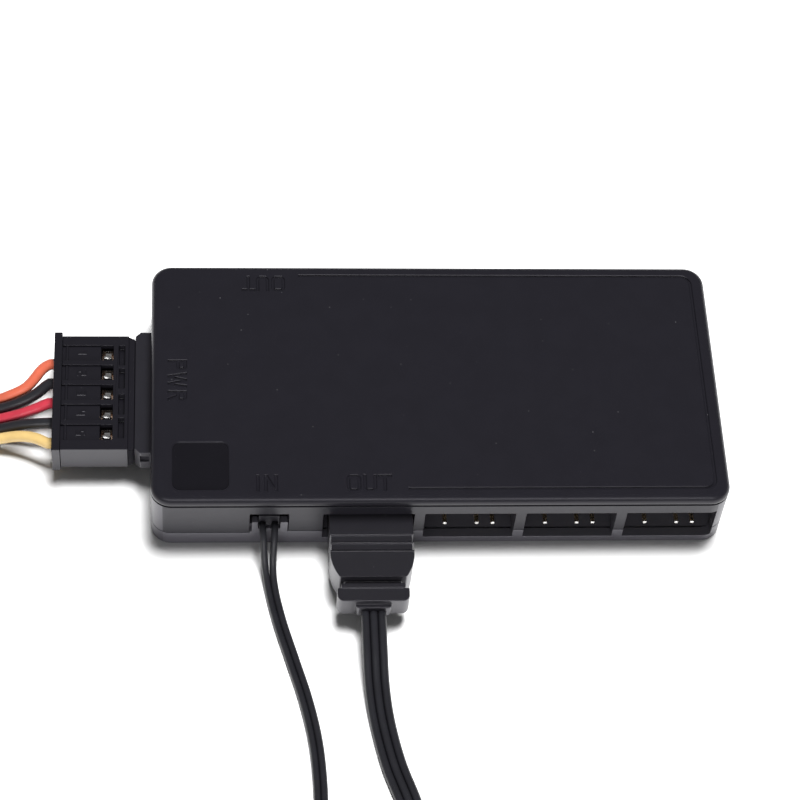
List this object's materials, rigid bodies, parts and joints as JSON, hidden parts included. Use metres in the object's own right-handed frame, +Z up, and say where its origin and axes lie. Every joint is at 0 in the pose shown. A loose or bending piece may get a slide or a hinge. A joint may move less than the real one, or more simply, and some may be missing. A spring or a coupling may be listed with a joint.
{
  "type": "addressable rgb splitter",
  "caption": "Flat plastic box with a circuit board inside that splits a power lead and a light signal lead into rows of pin outputs along both long sides.",
  "frame": {"origin": "centre of the box's underside", "axes": "+X along the box's length, away from the power plug; +Y from the side with the signal input to the other long side; +Z up"},
  "size_m": [0.1539, 0.1456, 0.0126],
  "materials": {
    "cover_plastic": "fine spark-eroded texture, satin",
    "shell_plastic": "fine texture, satin",
    "plug_plastic": "moulded, slightly glossy",
    "header_plastic": "moulded",
    "ivory_plastic": "moulded",
    "gold_pin": "gold flash, polished",
    "tin_contact": "tin plated",
    "screw_steel": "dark plated",
    "board_laminate": "lacquered",
    "chip_resin": "moulded",
    "can_aluminium": "bright",
    "fuse_body": "plain",
    "ceramic": "plain",
    "wire_orange": "soft gloss",
    "wire_red": "soft gloss",
    "wire_yellow": "soft gloss",
    "wire_black": "soft gloss",
    "cable_black": "soft, slightly ribbed",
    "tie_fabric": "woven hook and loop"
  },
  "bodies": {
    "root": {"top_cover": "cover_plastic", "bottom_shell": "shell_plastic", "cover_screws": "screw_steel", "circuit_board": "board_laminate", "front_header_1": "header_plastic", "front_header_2": "header_plastic", "front_header_3": "header_plastic", "front_header_4": "header_plastic", "back_header_1": "header_plastic", "back_header_2": "header_plastic", "back_header_3": "header_plastic", "back_header_4": "header_plastic", "back_header_5": "header_plastic", "front_pins": "gold_pin", "back_pins": "gold_pin", "signal_header": "ivory_plastic", "signal_pins": "gold_pin", "power_header": "header_plastic", "power_contacts": "gold_pin", "buffer_chip": "chip_resin", "bulk_capacitor": "can_aluminium", "resettable_fuse": "fuse_body", "ceramic_capacitors": "ceramic", "resistors": "chip_resin", "power_plug_housing": "plug_plastic", "power_plug_cap": "plug_plastic", "power_plug_contacts": "tin_contact", "wire_orange": "wire_orange", "wire_black_a": "wire_black", "wire_red": "wire_red", "wire_black_b": "wire_black", "wire_yellow": "wire_yellow", "power_lead_hank": "wire_black", "power_lead_tie": "tie_fabric", "power_end_housing": "plug_plastic", "power_end_cap": "plug_plastic", "power_end_contacts": "gold_pin", "signal_plug": "plug_plastic", "signal_plug_contacts": "tin_contact", "signal_cable": "cable_black", "signal_coil": "cable_black", "signal_cable_tail": "cable_black", "signal_end_plug": "plug_plastic", "signal_end_contacts": "gold_pin", "output_plug": "plug_plastic", "output_plug_contacts": "gold_pin", "output_cable": "cable_black", "output_coil": "cable_black", "output_cable_tail": "cable_black", "output_end_plug": "plug_plastic", "output_end_pins": "gold_pin"}
  },
  "joints": []
}
